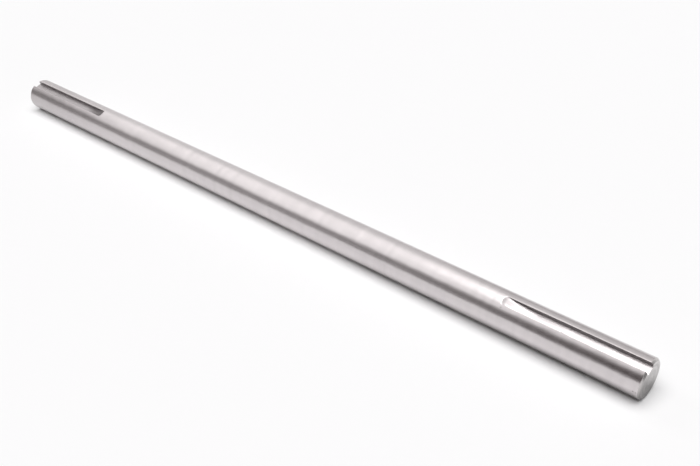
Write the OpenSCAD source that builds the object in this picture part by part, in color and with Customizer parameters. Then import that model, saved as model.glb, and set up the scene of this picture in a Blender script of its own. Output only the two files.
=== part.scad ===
// Keyed motor shaft: one ground round bar with chamfered ends and an open
// keyway milled in from each end. It lies along X on the floor plane z = 0,
// with its mid-length over the origin.

/* [Bar] */
// Diameter of the bar
shaft_d = 25.4; // [20:0.1:40]
// Overall length of the bar
shaft_l = 578; // [400:1:1200]
// Leg of the 45 degree chamfer round both ends
end_chamfer = 1.25; // [0.4:0.05:2.5]

/* [Keyways] */
// Width of both keyways
key_w = 6.35; // [4:0.05:8]
// Depth of a keyway's side walls, from the bar's surface to the floor
key_depth = 3.175; // [2:0.025:4.5]
// Length of the keyway at the +X end, up to the end of its cutter run-out
right_key_l = 91.5; // [60:0.5:180]
// Length of the keyway at the -X end, up to the end of its cutter run-out
left_key_l = 95; // [60:0.5:180]
// Diameter of the disc cutter that milled the keyways
cutter_d = 152.4; // [63:0.1:200]
// Turn of both keyways from straight up towards the front, in degrees
key_turn = 21; // [-90:1:90]

/* [Hidden] */
shaft_r = shaft_d / 2;
cutter_r = cutter_d / 2;
// Height of a keyway's rim and of its floor above the bar's axis
key_rim_h = sqrt(pow(shaft_r, 2) - pow(key_w / 2, 2));
key_floor_h = key_rim_h - key_depth;
// Distance along the bar in which the cutter's arc rises from floor to rim
key_run_out = sqrt(pow(cutter_r, 2) - pow(cutter_r - key_depth, 2));
// How far a cut reaches past the surfaces that it opens
cut_past = 2;
$fn = 96;

// Bar turned to diameter and chamfered at both ends, along X about its axis
module turned_bar() {
    half_l = shaft_l / 2;
    rotate([90, 0, 90])
        rotate_extrude()
            polygon([
                [0, -half_l],
                [shaft_r - end_chamfer, -half_l],
                [shaft_r, -half_l + end_chamfer],
                [shaft_r, half_l - end_chamfer],
                [shaft_r - end_chamfer, half_l],
                [0, half_l],
            ]);
}

// Space that the disc cutter clears when it is fed in from the +X end and
// stops with its own arc at the blind end of the keyway
module keyway_cut(key_l) {
    cutter_x = shaft_l / 2 - key_l + key_run_out;
    straight_l = key_l - key_run_out + cut_past;
    straight_h = shaft_r - key_floor_h + cut_past;
    translate([cutter_x, -key_w / 2, key_floor_h])
        cube([straight_l, key_w, straight_h]);
    translate([cutter_x, 0, key_floor_h + cutter_r])
        rotate([90, 0, 0])
            cylinder(r = cutter_r, h = key_w, center = true);
}

// The whole shaft as it lies on the floor, its keyways turned to the front
module keyed_shaft() {
    color("silver")
        translate([0, 0, shaft_r])
            difference() {
                turned_bar();
                rotate([key_turn, 0, 0]) {
                    keyway_cut(right_key_l);
                    mirror([1, 0, 0])
                        keyway_cut(left_key_l);
                }
            }
}

keyed_shaft();
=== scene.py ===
import math

import bmesh
import bpy
import numpy as np
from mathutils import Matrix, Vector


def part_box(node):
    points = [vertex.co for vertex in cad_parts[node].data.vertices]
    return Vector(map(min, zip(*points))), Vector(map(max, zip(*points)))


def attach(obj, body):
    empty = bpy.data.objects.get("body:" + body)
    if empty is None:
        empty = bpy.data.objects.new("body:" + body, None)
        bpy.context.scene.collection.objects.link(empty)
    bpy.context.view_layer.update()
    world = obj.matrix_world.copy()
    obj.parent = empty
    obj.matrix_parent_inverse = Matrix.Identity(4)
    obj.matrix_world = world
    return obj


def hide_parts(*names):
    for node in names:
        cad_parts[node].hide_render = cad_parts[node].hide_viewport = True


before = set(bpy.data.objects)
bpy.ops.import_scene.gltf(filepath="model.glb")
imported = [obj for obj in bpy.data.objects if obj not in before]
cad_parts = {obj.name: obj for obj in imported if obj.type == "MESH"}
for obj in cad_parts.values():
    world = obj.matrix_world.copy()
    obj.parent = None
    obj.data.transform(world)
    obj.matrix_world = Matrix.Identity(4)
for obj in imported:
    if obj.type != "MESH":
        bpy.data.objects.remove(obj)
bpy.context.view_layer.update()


# The shaft is one length of bright steel bar, ground all over to its diameter, then faced and
# chamfered at both ends in a lathe. A disc cutter sank an open keyway into each end and was lifted
# straight out, so each keyway's floor climbs out of the bar on the cutter's own curve.
shaft_low, shaft_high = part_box("keyed_shaft")
bar_radius = min(shaft_high.y, -shaft_low.y)
half_length = (shaft_high.x - shaft_low.x) / 2
axis_height = (shaft_high.z + shaft_low.z) / 2
end_chamfer = 0.00125
chamfer_round = 0.00012
key_half_width = 0.006350 / 2
key_depth = 0.003175
right_key_length = 0.0915
left_key_length = 0.0950
key_turn = math.radians(21)
rim_break = 0.00016
corner_round = 0.00010
cutter_radius = 0.1524 / 2
rim_height = math.sqrt(bar_radius**2 - key_half_width**2)
floor_height = rim_height - key_depth
run_out = math.sqrt(cutter_radius**2 - (cutter_radius - key_depth)**2)
corner_steps = 4


def rounded_corner(start, corner, end):
    """Points from start to end on the curve that leaves along start-corner and arrives along corner-end:
    the square-weighted mean of the three, so the corner is eased over the length of its two legs."""
    share = np.linspace(0.0, 1.0, corner_steps + 1)
    weights = (1 - share)**2, 2 * share * (1 - share), share**2
    points = (start, corner, end)
    return sum(np.multiply.outer(np.asarray(point, float), w) for point, w in zip(points, weights))


def floor_climb(along, key_length):
    """Height of the keyway's floor above the bar's axis, at a distance along from mid-length: level under
    the cutter's straight travel, and the cutter's circle from there towards mid-length."""
    cutter_at = half_length - key_length + run_out
    behind = np.clip(cutter_at - along, 0.0, cutter_radius)
    return floor_height + cutter_radius - np.sqrt(cutter_radius**2 - behind**2)


def leaving_line(aside, key_length):
    """Distance from mid-length where the floor meets the bar's skin, at a distance aside from the
    keyway's middle: the cutter's circle has there risen to the height of the bar's own circle."""
    cutter_at = half_length - key_length + run_out
    rise = np.sqrt(bar_radius**2 - np.minimum(np.abs(aside), key_half_width)**2) - floor_height
    return cutter_at - np.sqrt(cutter_radius**2 - (cutter_radius - rise)**2)


plain_steps = 11
run_in = 0.010
run_in_steps = 8
climb_steps = 28
climb_crowding = 1.4
straight_steps = 7
straight_stops_short = 2.8 * end_chamfer
beside_edge = 0.0001
before_edge = 4 * beside_edge


def lathe_profile(key_length):
    """Distance from mid-length and radius of each ring of points, from mid-length to one end. The rings
    stand close where the keyway begins, and closer still on the two eased edges of the end's chamfer.
    The last value counts the rings that the cutter doesn't reach."""
    leaves = half_length - key_length
    slope_starts = half_length - end_chamfer
    face_radius = bar_radius - end_chamfer
    down_slope = chamfer_round * math.sqrt(0.5)
    edge_in = rounded_corner((slope_starts - chamfer_round, bar_radius), (slope_starts, bar_radius),
                             (slope_starts + down_slope, bar_radius - down_slope))
    edge_out = rounded_corner((half_length - down_slope, face_radius + down_slope),
                              (half_length, face_radius), (half_length, face_radius - chamfer_round))
    plain = np.linspace(0.0, leaves - run_in, plain_steps + 1)
    approach = np.linspace(leaves - run_in, leaves, run_in_steps + 1)[1:]
    climb = leaves + run_out * np.linspace(0.0, 1.0, climb_steps + 1)[1:]**climb_crowding
    straight_end = half_length - straight_stops_short
    straight = np.linspace(leaves + run_out, straight_end, straight_steps + 1)[1:]
    last_plain = [edge_in[0, 0] - before_edge]
    step_down = np.array([beside_edge, -beside_edge])
    slope = np.stack([edge_in[:, -1] + step_down, edge_out[:, 0] - step_down], axis=1)
    along = np.concatenate([plain, approach, climb, straight, last_plain,
                            edge_in[0], slope[0], edge_out[0]])
    chamfer = np.concatenate([edge_in[1], slope[1], edge_out[1]])
    radius = np.concatenate([np.full(len(along) - len(chamfer), bar_radius), chamfer])
    uncut = len(plain) + len(approach)
    return along, radius, uncut


arc_steps = 168
wall_shares = np.array([0.08, 0.5, 0.92, 1.0])
floor_shares = np.array([0.96, 0.7, 0.35, 0.0, -0.35, -0.7, -0.96])
most_of_wall_eased = 0.4
hair = 1e-9


def half_shaft(key_length):
    """Rings of points for the half of the shaft from mid-length to one end, lying along +X with its keyway
    on top. A ring is the bar's circle from one rim of the keyway round to the other, then down one wall,
    across the floor and up the other wall. Where nothing is cut the walls have no height."""
    leaves = half_length - key_length
    along, lathe, uncut = lathe_profile(key_length)
    wall_top = np.sqrt(lathe**2 - key_half_width**2)
    wall = wall_top - np.minimum(floor_climb(along, key_length), wall_top)
    wall[:uncut] = 0.0
    wall_foot = wall_top - wall
    eased = np.minimum(rim_break, most_of_wall_eased * wall)
    filled = np.minimum(corner_round, most_of_wall_eased * wall)
    side = np.full_like(wall, key_half_width)

    rim_angle = np.arcsin((key_half_width + eased) / lathe)
    round_share = np.linspace(0, 1, arc_steps + 1)
    turn = rim_angle[:, None] + (2 * math.pi - 2 * rim_angle)[:, None] * round_share
    arc_aside = lathe[:, None] * np.sin(turn)
    arc_up = lathe[:, None] * np.cos(turn)

    rim = rounded_corner((side + eased, lathe * np.cos(rim_angle)), (side, wall_top),
                         (side, wall_top - eased))[:, :, 1:]
    face_up = (wall_top - eased)[:, None] + (wall_foot + filled - wall_top + eased)[:, None] * wall_shares
    face = np.stack([np.repeat(side[:, None], len(wall_shares), 1), face_up])
    corner = rounded_corner((side, wall_foot + filled), (side, wall_foot),
                            (side - filled, wall_foot))[:, :, 1:]
    leg_aside, leg_up = np.concatenate([rim, face, corner], axis=2)
    level_aside = (side - filled)[:, None] * floor_shares

    aside = np.concatenate([arc_aside, -leg_aside, level_aside[:, ::-1], leg_aside[:, ::-1]], axis=1)
    near_end_of_cut = np.clip(1 - np.abs(along - leaves) / run_in, 0, 1)[:, None]
    bow = leaves - leaving_line(aside, key_length)
    bow[np.abs(aside) > key_half_width - hair] = 0.0
    place = along[:, None] - near_end_of_cut * bow
    skin = np.sqrt(np.maximum(lathe[:, None]**2 - level_aside**2, 0.0))
    floor_first = arc_steps + 1 + leg_aside.shape[1]
    level_place = place[:, floor_first:floor_first + len(floor_shares)][:, ::-1]
    level_up = np.minimum(skin, floor_climb(level_place, key_length))
    up = np.concatenate([arc_up, leg_up, level_up[:, ::-1], leg_up[:, ::-1]], axis=1)
    cut = wall > 0
    turned = along > half_length - end_chamfer - chamfer_round
    return np.stack([place, aside, up], axis=2), cut, turned


right_rings, right_cut, right_turned = half_shaft(right_key_length)
left_rings, left_cut, left_turned = half_shaft(left_key_length)
left_rings = left_rings * np.array([-1.0, 1.0, 1.0])
rings = np.concatenate([left_rings[:0:-1], right_rings])
cut_rings = np.concatenate([left_cut[:0:-1], right_cut])
turned_rings = np.concatenate([left_turned[:0:-1], right_turned])
ring_count, ring_points = rings.shape[:2]
aside = rings[:, :, 1].copy()
up = rings[:, :, 2].copy()
rings[:, :, 1] = aside * math.cos(key_turn) - up * math.sin(key_turn)
rings[:, :, 2] = aside * math.sin(key_turn) + up * math.cos(key_turn) + axis_height

index = np.arange(ring_count * ring_points).reshape(ring_count, ring_points)
following = np.roll(index, -1, axis=1)
skin_faces = np.stack([index[:-1], index[1:], following[1:], following[:-1]], axis=2)
end_faces = [index[0].tolist(), index[-1][::-1].tolist()]
GROUND, MILLED, FACED, WALL = 0, 1, 2, 3
finish = np.full(skin_faces.shape[:2], GROUND)
finish[turned_rings[:-1] & turned_rings[1:], :] = FACED
in_cut = cut_rings[:-1] | cut_rings[1:]
around = np.arange(ring_points)
from_floor_middle = np.abs(around - (arc_steps + ring_points - 1) / 2)
floor_steps = len(floor_shares) + 1
finish[np.ix_(in_cut, around > arc_steps)] = WALL
finish[np.ix_(in_cut, from_floor_middle < floor_steps / 2)] = MILLED
all_finish = np.concatenate([finish.ravel(), [FACED, FACED]]).astype(np.int32)


def flat_pattern(strips=3, gap=0.002, end_scale=2.4):
    """Where each corner of each face lies on a flat page. The skin is unrolled in strips of equal length,
    side by side, with the way round the bar across the page and its length up it. Both ends lie above the
    strips, enlarged."""
    chamfer_drop = bar_radius - np.hypot(aside[:, 0], up[:, 0])
    run = rings[:, :, 0] + (np.sign(rings[:, 0, 0]) * chamfer_drop)[:, None]
    next_run = np.roll(run, -1, axis=1)
    along_bar = np.stack([run[:-1], run[1:], next_run[1:], next_run[:-1]], axis=2)
    step = np.hypot(np.diff(aside, axis=1, append=aside[:, :1]), np.diff(up, axis=1, append=up[:, :1]))
    girth = np.concatenate([[0.0], np.cumsum(step.max(axis=0))])
    round_bar = np.stack([girth[:-1], girth[:-1], girth[1:], girth[1:]], axis=1)

    row_middle = along_bar.mean(axis=(1, 2))
    strip = np.clip((strips * (row_middle / run.max() + 1) / 2).astype(int), 0, strips - 1)
    starts = np.array([along_bar[strip == k].min() for k in range(strips)])
    stops = np.array([along_bar[strip == k].max() for k in range(strips)])
    strip_length = (stops - starts).max()
    strip_width = girth[-1] + gap
    across_page = round_bar[None] + (strip * strip_width)[:, None, None] + gap
    up_page = along_bar - starts[strip][:, None, None] + gap
    skin = np.stack([across_page, up_page], axis=3).reshape(-1, 2)

    end_radius = end_scale * bar_radius
    left_middle = np.array([gap + end_radius, strip_length + 2 * gap + end_radius])
    right_middle = left_middle + (2 * end_radius + gap, 0.0)
    left_end = left_middle + end_scale * np.stack([aside[0], up[0]], axis=1)
    right_end = right_middle + end_scale * np.stack([aside[-1], up[-1]], axis=1)
    page = max(strips * strip_width + gap, strip_length + 3 * gap + 2 * end_radius)
    return np.concatenate([skin, left_end, right_end[::-1]]) / page


same_point = 1e-7
smooth_up_to = math.radians(38)
shaft_mesh = bpy.data.meshes.new("motor_shaft")
shaft_mesh.from_pydata(rings.reshape(-1, 3).tolist(), [], skin_faces.reshape(-1, 4).tolist() + end_faces)
shaft_mesh.polygons.foreach_set("material_index", all_finish)
smooth = np.ones(len(all_finish), bool)
smooth[-len(end_faces):] = False
shaft_mesh.polygons.foreach_set("use_smooth", smooth)
shaft_mesh.uv_layers.new(name="OFBake").data.foreach_set("uv", flat_pattern().ravel())
joined = bmesh.new()
joined.from_mesh(shaft_mesh)
bmesh.ops.remove_doubles(joined, verts=joined.verts, dist=same_point)
joined.to_mesh(shaft_mesh)
joined.free()
shaft_mesh.set_sharp_from_angle(angle=smooth_up_to)
shaft_mesh.validate()

shaft = bpy.data.objects.new("motor_shaft", shaft_mesh)
bpy.context.scene.collection.objects.link(shaft)


# The bar's skin comes off the grinding wheel, with fine lines round it, faint bands where the wheel was
# fed along, and the uneven tone of handling. Its left-hand end is a little darker, and four small nicks
# show on the right-hand half.
dull_skin = (0.576, 0.544, 0.549)
bright_skin = (0.664, 0.627, 0.632)
left_end_dark_tone = (0.48, 0.453, 0.457)
nick_tone = (0.22, 0.205, 0.2)
wave_depth = 0.00022
wheel_line_depth = 0.000004
nick_depth = 0.00008
nick_core = 0.3

# Each nick has a distance from mid-length, degrees from the top towards the front, and a radius.
nick_places = ((0.28511, 99.8, 0.0006), (0.28670, 100.2, 0.0005), (0.23727, 36.3, 0.0006),
               (0.19780, 45.0, 0.0004))


def node(tree, kind, inputs=None, **settings):
    """Adds one shader node to a tree. inputs holds numbers, or another node's output to wire in."""
    made = tree.nodes.new("ShaderNode" + kind)
    for name, value in settings.items():
        setattr(made, name, value)
    for name, value in (inputs or {}).items():
        if isinstance(value, bpy.types.NodeSocket):
            tree.links.new(value, made.inputs[name])
        else:
            made.inputs[name].default_value = value
    return made


def arithmetic(tree, operation, *values):
    """One number worked out from others, each a plain number or a node's output."""
    return node(tree, "Math", dict(enumerate(values)), operation=operation).outputs[0]


def grained_steel(name, colour, roughness, grain, marks):
    """A bare metal whose tool marks run round the bar or along it, so that it is rougher across them by
    grain, from 0 for even to 1. colour and roughness are the means that its finish varies about.
    Returns the material, its tree, its shader and the piece's coordinates."""
    made = bpy.data.materials.new(name)
    made.use_nodes = True
    tree = made.node_tree
    shader = tree.nodes["Principled BSDF"]
    shader.inputs["Base Color"].default_value = (*colour, 1)
    shader.inputs["Metallic"].default_value = 1.0
    shader.inputs["Roughness"].default_value = roughness
    shader.inputs["Specular Tint"].default_value = (0.95, 0.95, 0.95, 1)
    shader.inputs["Anisotropic"].default_value = grain
    shader.inputs["Anisotropic Rotation"].default_value = {"round": 0.25, "along": 0.0}[marks]
    round_bar = node(tree, "Tangent", direction_type="RADIAL", axis="X")
    tree.links.new(round_bar.outputs[0], shader.inputs["Tangent"])
    place = node(tree, "TexCoord").outputs["Object"]
    return made, tree, shader, place


def wire_finish(tree, shader, tone, roughness, normal):
    """Wires a tone, a roughness and a bent normal into a metal's shader."""
    tree.links.new(tone, shader.inputs["Base Color"])
    tree.links.new(roughness, shader.inputs["Roughness"])
    tree.links.new(normal, shader.inputs["Normal"])


def streaks(tree, place, per_metre, detail=2.0, rough=0.5):
    """Soft noise from 0 to 1, with its own count of marks per metre along each axis."""
    stretched = node(tree, "Mapping", {"Vector": place, "Scale": per_metre})
    return node(tree, "TexNoise", {"Vector": stretched.outputs[0], "Scale": 1.0, "Detail": detail,
                                   "Roughness": rough}).outputs["Fac"]


def spread(tree, value, low, high, over=(0.3, 0.7)):
    """Runs from low to high while a value crosses over, and stays level outside it."""
    return node(tree, "MapRange", {"Value": value, "From Min": over[0], "From Max": over[1],
                                   "To Min": low, "To Max": high}).outputs[0]


def tones(tree, share, first, second):
    """A colour that goes from first to second as share goes from 0 to 1. Either may be a node's colour."""
    first, second = ((*c, 1) if isinstance(c, tuple) else c for c in (first, second))
    mixed = node(tree, "Mix", {"Factor": share, "A": first, "B": second}, data_type="RGBA")
    return mixed.outputs["Result"]


def relief(tree, height, depth, **more):
    """A normal bent by a height from 0 to 1 that stands depth metres tall."""
    inputs = {"Height": height, "Strength": 1.0, "Distance": depth, **more.pop("inputs", {})}
    return node(tree, "Bump", inputs, **more).outputs[0]


ground, tree, shader, place = grained_steel("ground_steel", colour=(0.62, 0.586, 0.591), roughness=0.265,
                                            grain=0.66, marks="round")
wheel_lines = streaks(tree, place, per_metre=(3600, 90, 90), detail=3.0)
feed_bands = streaks(tree, place, per_metre=(260, 14, 14))
handling = streaks(tree, place, per_metre=(38, 70, 70), detail=4.0, rough=0.6)
waves = streaks(tree, place, per_metre=(45, 110, 110))
both = arithmetic(tree, "ADD", feed_bands, handling)
worn = spread(tree, both, low=0.0, high=1.0, over=(0.6, 1.4))
worn_tone = tones(tree, worn, dull_skin, bright_skin)
along_bar = node(tree, "SeparateXYZ", {0: place}).outputs["X"]
left_end_darkening = spread(tree, along_bar, low=0.55, high=0.0, over=(-0.25, -0.16))
skin_tone = tones(tree, left_end_darkening, worn_tone, left_end_dark_tone)
nicks = 0.0
for along, degrees_from_top, nick_radius in nick_places:
    aim = math.radians(degrees_from_top)
    spot = (along, -bar_radius * math.sin(aim), axis_height + bar_radius * math.cos(aim))
    away = node(tree, "VectorMath", {0: place, 1: spot}, operation="DISTANCE").outputs["Value"]
    dent = spread(tree, away, low=1.0, high=0.0, over=(nick_core * nick_radius, nick_radius))
    nicks = arithmetic(tree, "MAXIMUM", nicks, dent)
wavy = relief(tree, waves, wave_depth)
scored = relief(tree, wheel_lines, wheel_line_depth, inputs={"Normal": wavy})
pitted = relief(tree, nicks, nick_depth, inputs={"Normal": scored}, invert=True)
wire_finish(tree, shader, tone=tones(tree, nicks, skin_tone, nick_tone),
            roughness=spread(tree, worn, low=0.257, high=0.273, over=(0.0, 1.0)), normal=pitted)


# The keyways' floors are milled, with the cutter's tooth marks drawn out along them and a darker crescent
# where it left the bar. The right-hand floor is painted brighter than the left, most of all beside its
# walls: painted light for the soft box that it mirrors. The walls bear the rub marks of the cutter's sides
# and are darker than either floor.
left_floor_tone = (0.49, 0.461, 0.466)
right_floor_painted_light = (0.65, 0.615, 0.620)
painted_light_by_wall = (0.92, 0.870, 0.877)
painted_light_by_wall_span = (0.35 * key_half_width, 0.65 * key_half_width)
tooth_mark_tone = (0.30, 0.282, 0.285)
tooth_mark_depth = 0.000006
crescent_tone = tooth_mark_tone
crescent_span = (bar_radius - 0.0008, bar_radius - 0.0004)
left_wall_tone = (0.39, 0.367, 0.371)
right_wall_tone = (0.29, 0.273, 0.276)
rub_mark_depth = 0.000004


def from_left_to_right(tree, place):
    """0 all along the left keyway, and 1 all along the right one."""
    along = node(tree, "SeparateXYZ", {0: place}).outputs["X"]
    return spread(tree, along, low=0.0, high=1.0, over=(-0.2, 0.2))


def distance_from_axis(tree, place):
    """Distance of each point from the bar's axis: the length of what is left of its place once the axis is
    brought down to the floor and the way along the bar is flattened out."""
    centred = node(tree, "Mapping", {"Vector": place, "Location": (0, 0, -axis_height),
                                     "Scale": (0, 1, 1)})
    return node(tree, "VectorMath", {0: centred.outputs[0]}, operation="LENGTH").outputs["Value"]


def distance_from_key_middle(tree, place):
    """Distance of each point from the plane through the axis and the keyways' middles: how far it lies
    along the way across the keyways, less how far the axis does, either way."""
    across_key = (0.0, math.cos(key_turn), math.sin(key_turn))
    axis_across = axis_height * math.sin(key_turn)
    across = node(tree, "VectorMath", {0: place, 1: across_key}, operation="DOT_PRODUCT").outputs["Value"]
    return arithmetic(tree, "ABSOLUTE", arithmetic(tree, "SUBTRACT", across, axis_across))


milled, tree, shader, place = grained_steel("milled_keyway", colour=(0.52, 0.489, 0.494), roughness=0.37,
                                            grain=0.45, marks="along")
tooth_lines = streaks(tree, place, per_metre=(60, 1900, 1900))
# Painted light: the right-hand floor is made lighter, and lighter still beside its walls.
painted_light_by_wall_share = spread(tree, distance_from_key_middle(tree, place), low=0.0, high=1.0, over=painted_light_by_wall_span)
right_floor_with_painted_light = tones(tree, painted_light_by_wall_share, right_floor_painted_light, painted_light_by_wall)
floor_tone = tones(tree, from_left_to_right(tree, place), left_floor_tone, right_floor_with_painted_light)
tooth_marks = spread(tree, tooth_lines, low=0.0, high=0.2)
streaked = tones(tree, tooth_marks, floor_tone, tooth_mark_tone)
crescent = spread(tree, distance_from_axis(tree, place), low=0.0, high=0.6, over=crescent_span)
wire_finish(tree, shader, tone=tones(tree, crescent, streaked, crescent_tone),
            roughness=spread(tree, tooth_lines, low=0.34, high=0.40),
            normal=relief(tree, tooth_lines, tooth_mark_depth))

rubbed, tree, shader, place = grained_steel("keyway_wall", colour=(0.33, 0.311, 0.314), roughness=0.40,
                                            grain=0.3, marks="along")
rub_lines = streaks(tree, place, per_metre=(300, 1500, 1500))
# The walls are darker in colour than the floors, the right-hand walls the darker.
wire_finish(tree, shader,
            tone=tones(tree, from_left_to_right(tree, place), left_wall_tone, right_wall_tone),
            roughness=spread(tree, rub_lines, low=0.37, high=0.43),
            normal=relief(tree, rub_lines, rub_mark_depth))


# Both ends and their chamfers are turned, so the tool's passes show as rings round the bar's axis. Towards
# the floor they are painted darker: painted shade for the shadowed board that they mirror there.
dull_pass = (0.44, 0.424, 0.421)
bright_pass = (0.63, 0.606, 0.602)
painted_shade_tone = (0.14, 0.133, 0.131)
painted_shade_span = (0.15 * bar_radius, 1.7 * bar_radius)
tool_line_depth = 0.000012


def turned_rings_of(tree, from_axis, per_metre):
    """Soft noise from 0 to 1 that changes only with the distance from the bar's axis."""
    return node(tree, "TexNoise", {"W": from_axis, "Scale": per_metre, "Detail": 2.0},
                noise_dimensions="1D").outputs["Fac"]


faced, tree, shader, place = grained_steel("faced_end", colour=(0.51, 0.490, 0.487), roughness=0.27,
                                           grain=0.0, marks="round")
from_axis = distance_from_axis(tree, place)
tool_lines = turned_rings_of(tree, from_axis, per_metre=2600)
tool_passes = turned_rings_of(tree, from_axis, per_metre=620)
passes = spread(tree, tool_passes, low=0.0, high=1.0, over=(0.36, 0.60))
pass_tone = tones(tree, passes, dull_pass, bright_pass)
above_floor = node(tree, "SeparateXYZ", {0: place}).outputs["Z"]
# Painted shade: the lower part of each end is darkened in colour, in place of the shadow it mirrors.
painted_shade = spread(tree, above_floor, low=0.6, high=0.0, over=painted_shade_span)
wire_finish(tree, shader, tone=tones(tree, painted_shade, pass_tone, painted_shade_tone),
            roughness=spread(tree, tool_lines, low=0.24, high=0.30),
            normal=relief(tree, tool_lines, tool_line_depth))

for finish_material in (ground, milled, faced, rubbed):
    shaft_mesh.materials.append(finish_material)
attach(shaft, "root")
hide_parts("keyed_shaft")


# The floor is a sheet of matt white board that runs out of sight on every side. Under the right-hand end
# its colour is painted darker, a painted shadow that deepens the bar's own shadow there, a little as seen
# and most of all in what the steel mirrors of it.
floor_reach = 30.0
board_white = (0.93, 0.925, 0.93)
black = (0.0, 0.0, 0.0)
under_bar_span = (0.75 * bar_radius, 1.6 * bar_radius)
deepening_span = (5 * bar_radius, 20 * bar_radius)
fading_span = (22 * bar_radius, 26 * bar_radius)
seen_depth = 0.05
mirrored_depth = 0.5
floor_mesh = bpy.data.meshes.new("white_board")
floor_corners = floor_reach * np.array([[-1, -1, 0], [1, -1, 0], [1, 1, 0], [-1, 1, 0]], float)
floor_corners[:, 2] = shaft_low.z
floor_mesh.from_pydata(floor_corners.tolist(), [], [[0, 1, 2, 3]])
board = bpy.data.objects.new("white_board", floor_mesh)
bpy.context.scene.collection.objects.link(board)
board_paint = bpy.data.materials.new("white_board")
board_paint.use_nodes = True
tree = board_paint.node_tree
board_shader = tree.nodes["Principled BSDF"]
on_board = node(tree, "SeparateXYZ", {0: node(tree, "TexCoord").outputs["Object"]})
from_bar = arithmetic(tree, "ABSOLUTE", on_board.outputs["Y"])
# Painted shadow: the board's colour darkens near the bar under its right-hand end, more in mirrors.
under_bar = spread(tree, from_bar, low=1.0, high=0.0, over=under_bar_span)
towards_end = spread(tree, on_board.outputs["X"], low=0.0, high=1.0, over=deepening_span)
past_end = spread(tree, on_board.outputs["X"], low=1.0, high=0.0, over=fading_span)
under_end = arithmetic(tree, "MULTIPLY", towards_end, past_end)
deepest = arithmetic(tree, "MULTIPLY", under_bar, under_end)
in_a_mirror = node(tree, "LightPath").outputs["Is Glossy Ray"]
depth_shown = spread(tree, in_a_mirror, low=seen_depth, high=mirrored_depth, over=(0.0, 1.0))
painted_shadow = arithmetic(tree, "MULTIPLY", deepest, depth_shown)
tree.links.new(tones(tree, painted_shadow, board_white, black), board_shader.inputs["Base Color"])
board_shader.inputs["Roughness"].default_value = 0.9
board_shader.inputs["Specular IOR Level"].default_value = 0.0
floor_mesh.materials.append(board_paint)


# The light is a wide lamp overhead, and a studio, a trace warm, that the steel mirrors: a white ceiling
# with a soft box towards the bar's right-hand end, a pale wall behind, a dim one past the left-hand end,
# and an unlit front. Seen directly, the studio is as white as the floor.
lean_to_front = math.radians(12)
lean_to_right = math.radians(5)
lamp = bpy.data.lights.new("overhead_lamp", "SUN")
lamp.energy = 3.28
lamp.angle = math.radians(66)
overhead = bpy.data.objects.new("overhead_lamp", lamp)
overhead.rotation_euler = (lean_to_front, lean_to_right, 0.0)
overhead.visible_glossy = False
bpy.context.scene.collection.objects.link(overhead)

brightest = 5.5
warmth = 0.014
edge_slant = -0.08
square_at = 0.35
unlit = (0.05, 0.05, 0.05)
room = bpy.data.worlds.new("studio")
room.use_nodes = True
bpy.context.scene.world = room
tree = room.node_tree
tree.nodes.clear()
split = node(tree, "SeparateXYZ", {0: node(tree, "TexCoord").outputs["Generated"]})
to_front = arithmetic(tree, "MULTIPLY", split.outputs["Y"], -1.0)
lean = arithmetic(tree, "ARCTAN2", to_front, split.outputs["Z"])
lean_share = spread(tree, lean, low=0.0, high=1.0, over=(-math.pi / 2, math.pi / 2))
past_square = arithmetic(tree, "SUBTRACT", lean, square_at)
sideways = arithmetic(tree, "MULTIPLY_ADD", past_square, edge_slant, split.outputs["X"])


def light_band(*levels):
    """A ramp of light round the bar, from the back horizon over the ceiling to the front horizon.
    levels holds pairs of degrees from straight up, towards the front, and brightness. Red is raised by
    the warmth."""
    ramp = node(tree, "ValToRGB", {"Fac": lean_share})
    while len(ramp.color_ramp.elements) < len(levels):
        ramp.color_ramp.elements.new(0.5)
    for element, (degrees, level) in zip(ramp.color_ramp.elements, levels):
        element.position = (degrees + 90) / 180
        element.color = ((level + warmth) / brightest, level / brightest, level / brightest, 1)
    return ramp.outputs[0]


def sideways_share(start, end):
    """Smooth step from 0 to 1 as a direction's sideways part goes from start to end. The edge slants a
    little, so that it comes nearer towards the front."""
    return node(tree, "MapRange", {"Value": sideways, "From Min": start, "From Max": end},
                interpolation_type="SMOOTHSTEP").outputs[0]


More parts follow.
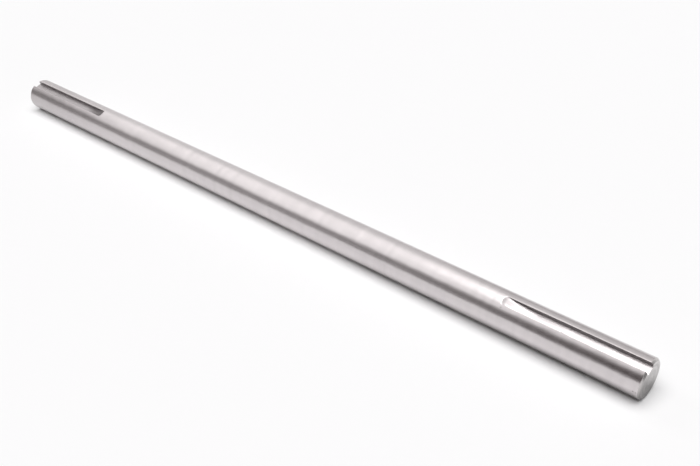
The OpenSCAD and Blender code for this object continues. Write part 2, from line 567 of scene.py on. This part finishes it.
middle_band = light_band((-90, 1.0), (-63, 0.88), (-27, 1.38), (9, 1.46), (36, 1.6), (45, 1.36),
                         (54, 0.85), (62, 0.46), (90, 0.5))
beside_box = light_band((-90, 0.78), (-45, 0.93), (-14, 0.64), (6, 0.64), (34, 1.2), (45, 0.92),
                        (51, 0.32), (74, 0.04), (90, 0.4))
soft_box = light_band((-90, 0.43), (-48, 0.8), (-30, 2.4), (-16, 5.0), (5, brightest), (15, 4.3),
                      (23, 1.75), (30, 0.84), (48, 0.03), (74, 0.0), (90, 0.5))
right_band = light_band((-90, 0.65), (-45, 0.85), (-27, 1.45), (22, 1.35), (48, 0.05), (74, 0.0),
                        (90, 0.5))
left_band = light_band((-90, 0.6), (-30, 0.08), (45, 0.06), (64, 0.24), (90, 0.45))
to_box = tones(tree, sideways_share(start=-0.02, end=-0.16), right_band, soft_box)
past_box = tones(tree, sideways_share(start=-0.20, end=-0.36), to_box, beside_box)
over_bar = tones(tree, sideways_share(start=-0.41, end=-0.57), past_box, middle_band)
to_left = tones(tree, sideways_share(start=-0.69, end=-0.93), over_bar, left_band)
all_round = tones(tree, sideways_share(start=0.6, end=0.9), to_left, unlit)
mirrored = node(tree, "Background", {"Color": all_round, "Strength": brightest})
fill = node(tree, "Background", {"Color": (1, 1, 1, 1), "Strength": 0.03})
plain_white = node(tree, "Background", {"Color": (0.975, 0.975, 0.975, 1), "Strength": 1.0})
ray = node(tree, "LightPath")
lit = node(tree, "MixShader", {0: ray.outputs["Is Glossy Ray"], 1: fill.outputs[0],
                               2: mirrored.outputs[0]})
shown = node(tree, "MixShader", {0: ray.outputs["Is Camera Ray"], 1: lit.outputs[0],
                                 2: plain_white.outputs[0]})
node(tree, "OutputWorld", {"Surface": shown.outputs[0]})


# The camera stands off the bar's right-hand end and above it, at the photograph's angle. Its lens takes in
# the whole bar, all of it in focus.
eye = bpy.data.cameras.new("camera")
eye.sensor_width = 36.0
eye.lens = 46.54
eye.clip_start = 0.01
eye.clip_end = 200.0
camera = bpy.data.objects.new("camera", eye)
camera.location = (0.40623, -0.38769, 0.34781)
camera.rotation_euler = (math.radians(57.0835), 0.0, math.radians(40.6611))
bpy.context.scene.collection.objects.link(camera)
bpy.context.scene.camera = camera
bpy.context.scene.view_settings.view_transform = "Standard"
